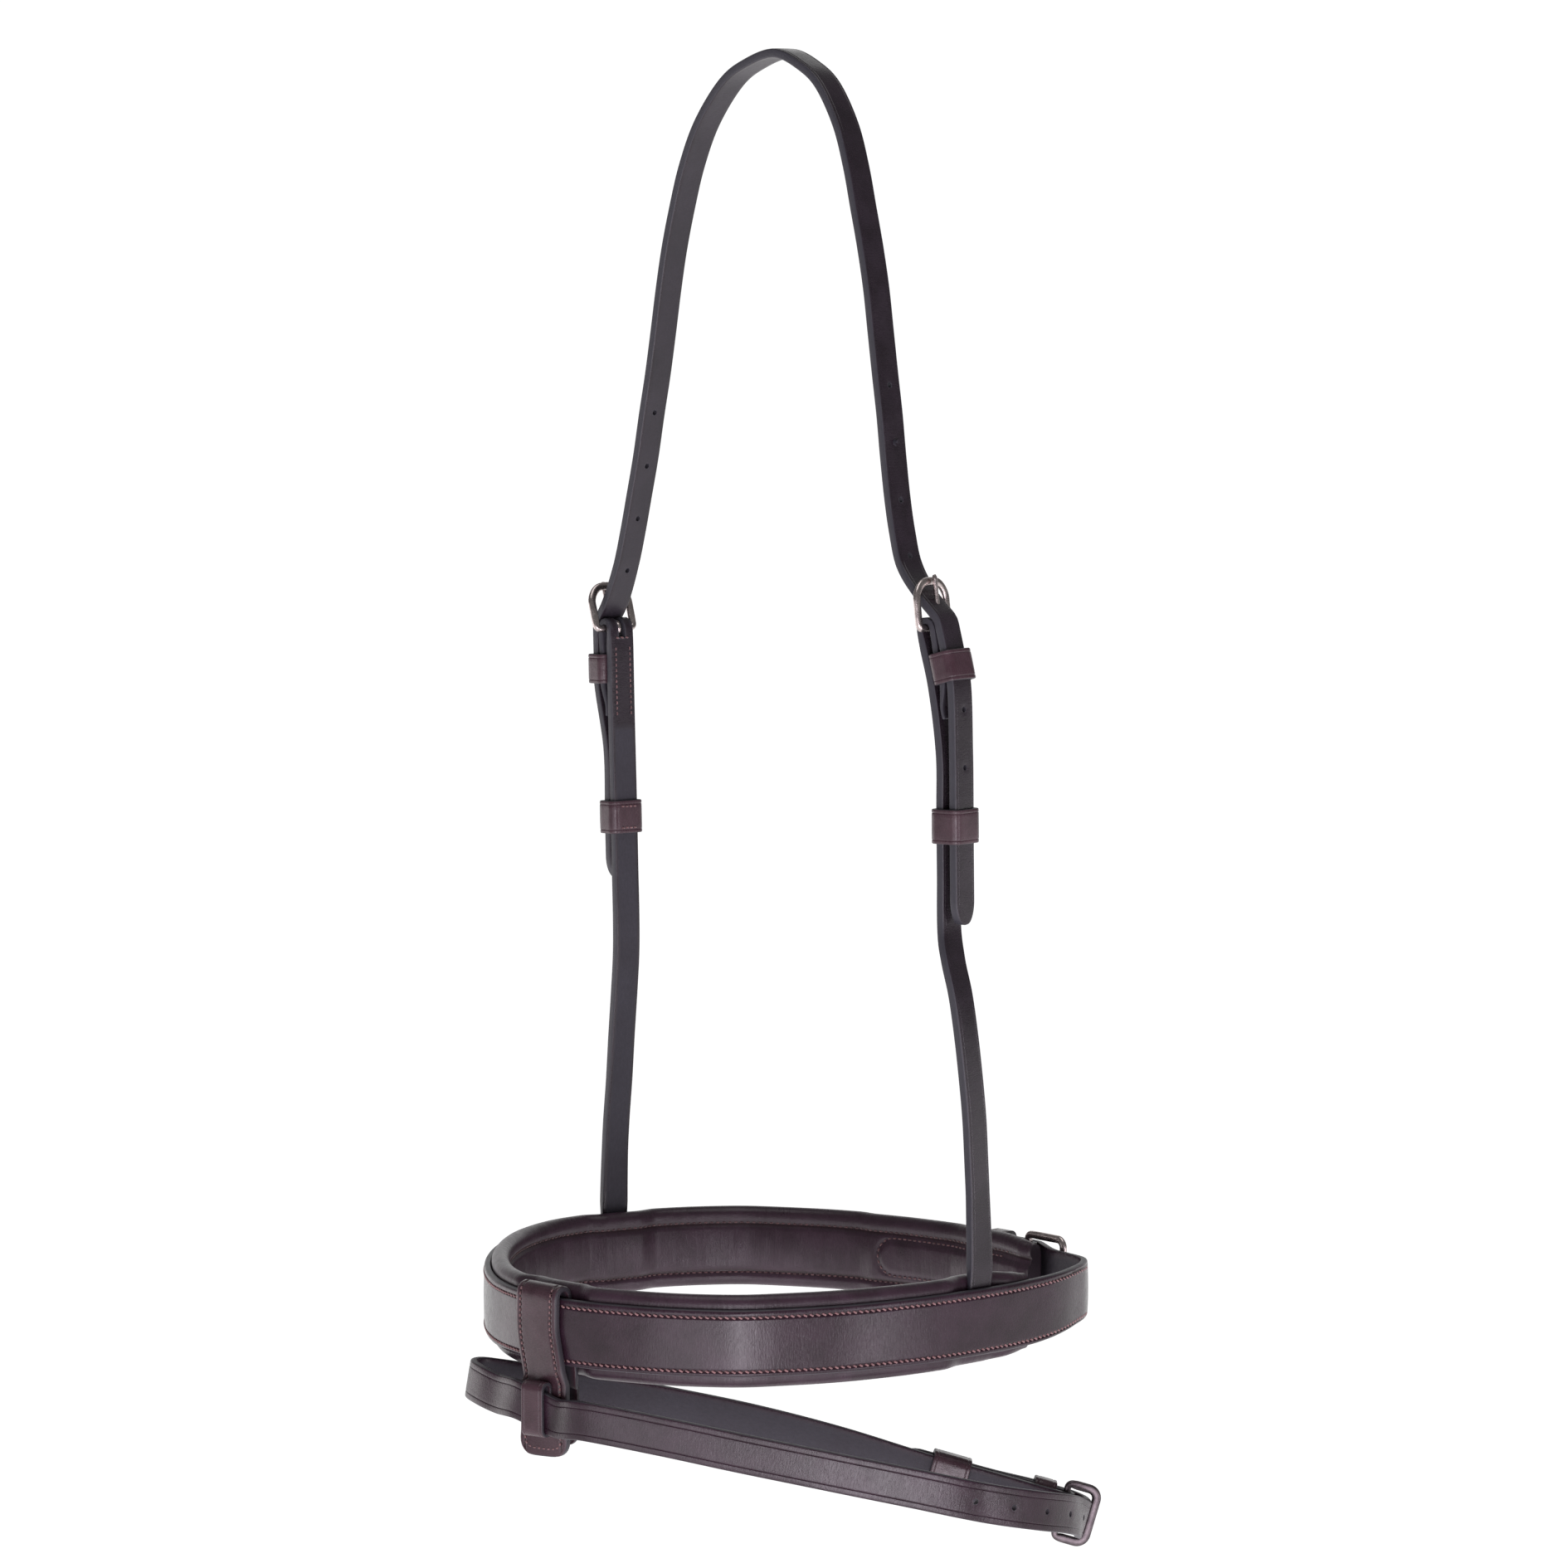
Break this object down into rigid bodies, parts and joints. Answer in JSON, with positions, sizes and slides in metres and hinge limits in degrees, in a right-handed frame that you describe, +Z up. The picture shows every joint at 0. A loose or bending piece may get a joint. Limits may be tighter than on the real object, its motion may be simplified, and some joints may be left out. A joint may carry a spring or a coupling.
{
  "type": "bridle noseband",
  "caption": "Padded leather bridle noseband on a buckled headstrap, with a lower flash strap through a tab on its front.",
  "frame": {"origin": "underside of the headstrap's crown, where it lies on the poll", "axes": "+Z up, +X to the horse's near (left) side, -Y to the front of the nose"},
  "size_m": [0.2962, 0.2729, 0.6514],
  "materials": {
    "strap_leather": "smooth dark brown bridle leather, waxed, with black cut edges",
    "lining_leather": "softer dark brown leather rolled round the padding",
    "padding_felt": "felt strip, out of sight",
    "stainless_steel": "polished stainless steel, lightly worn"
  },
  "bodies": {
    "bridle": {"headstrap": "strap_leather", "near_cheek_hanger": "strap_leather", "off_cheek_hanger": "strap_leather", "near_fixed_keeper": "strap_leather", "off_fixed_keeper": "strap_leather", "noseband_strap": "strap_leather", "noseband_lining": "lining_leather", "noseband_padding": "padding_felt", "chin_keeper": "strap_leather", "flash_tab": "strap_leather", "flash_tab_keeper": "strap_leather"},
    "near_frame": {"near_buckle_frame": "stainless_steel"},
    "near_tongue": {"near_buckle_tongue": "stainless_steel"},
    "near_runner": {"near_runner_keeper": "strap_leather"},
    "off_frame": {"off_buckle_frame": "stainless_steel"},
    "off_tongue": {"off_buckle_tongue": "stainless_steel"},
    "off_runner": {"off_runner_keeper": "strap_leather"},
    "chin_frame": {"chin_buckle_frame": "stainless_steel"},
    "chin_tongue": {"chin_buckle_tongue": "stainless_steel"},
    "flash": {"flash_strap": "strap_leather", "flash_fixed_keeper": "strap_leather"},
    "flash_frame": {"flash_buckle_frame": "stainless_steel"},
    "flash_tongue": {"flash_buckle_tongue": "stainless_steel"},
    "flash_runner": {"flash_runner_keeper": "strap_leather"}
  },
  "joints": [
    {"name": "near_buckle_hinge", "type": "hinge", "parent": "bridle", "child": "near_frame", "pos_m": [0.1006, 0, -0.2453], "axis": [-0.1908, 0.9816, 0], "range_deg": [-1.2, 1.5]},
    {"name": "near_tongue_hinge", "type": "hinge", "parent": "near_frame", "child": "near_tongue", "pos_m": [0.1006, 0, -0.2453], "axis": [-0.1908, 0.9816, 0], "range_deg": [0, 2.5]},
    {"name": "near_runner_slide", "type": "slide", "parent": "bridle", "child": "near_runner", "axis": [-0.0137, -0.0027, 0.9999], "range_m": [-0.01, 0.014]},
    {"name": "off_buckle_hinge", "type": "hinge", "parent": "bridle", "child": "off_frame", "pos_m": [-0.1199, 0, -0.257], "axis": [-0.0523, -0.9986, 0], "range_deg": [-1.2, 1.5]},
    {"name": "off_tongue_hinge", "type": "hinge", "parent": "off_frame", "child": "off_tongue", "pos_m": [-0.1199, 0, -0.257], "axis": [-0.0523, -0.9986, 0], "range_deg": [0, 2.5]},
    {"name": "off_runner_slide", "type": "slide", "parent": "bridle", "child": "off_runner", "axis": [-0.0349, 0.0018, 0.9994], "range_m": [-0.01, 0.014]},
    {"name": "chin_buckle_hinge", "type": "hinge", "parent": "bridle", "child": "chin_frame", "pos_m": [0.04782, 0.10435, -0.54341], "axis": [0.0033, -0.0028, 1], "range_deg": [-1.5, 1.5]},
    {"name": "chin_tongue_hinge", "type": "hinge", "parent": "chin_frame", "child": "chin_tongue", "pos_m": [0.04782, 0.10435, -0.54341], "axis": [0.0033, -0.0028, 1], "range_deg": [0, 2]},
    {"name": "flash_strap_slide", "type": "slide", "parent": "bridle", "child": "flash", "axis": [0.9349, 0.2397, -0.2618], "range_m": [-0.004, 0.002]},
    {"name": "flash_buckle_hinge", "type": "hinge", "parent": "flash", "child": "flash_frame", "pos_m": [0.13183, 0.04772, -0.63176], "axis": [0.1804, 0.2085, 0.9613], "range_deg": [-1.5, 1.5]},
    {"name": "flash_tongue_hinge", "type": "hinge", "parent": "flash_frame", "child": "flash_tongue", "pos_m": [0.13183, 0.04772, -0.63176], "axis": [0.1804, 0.2085, 0.9613], "range_deg": [0, 2]},
    {"name": "flash_runner_slide", "type": "slide", "parent": "flash", "child": "flash_runner", "axis": [0.617, 0.7371, -0.2756], "range_m": [-0.004, 0.004]}
  ]
}
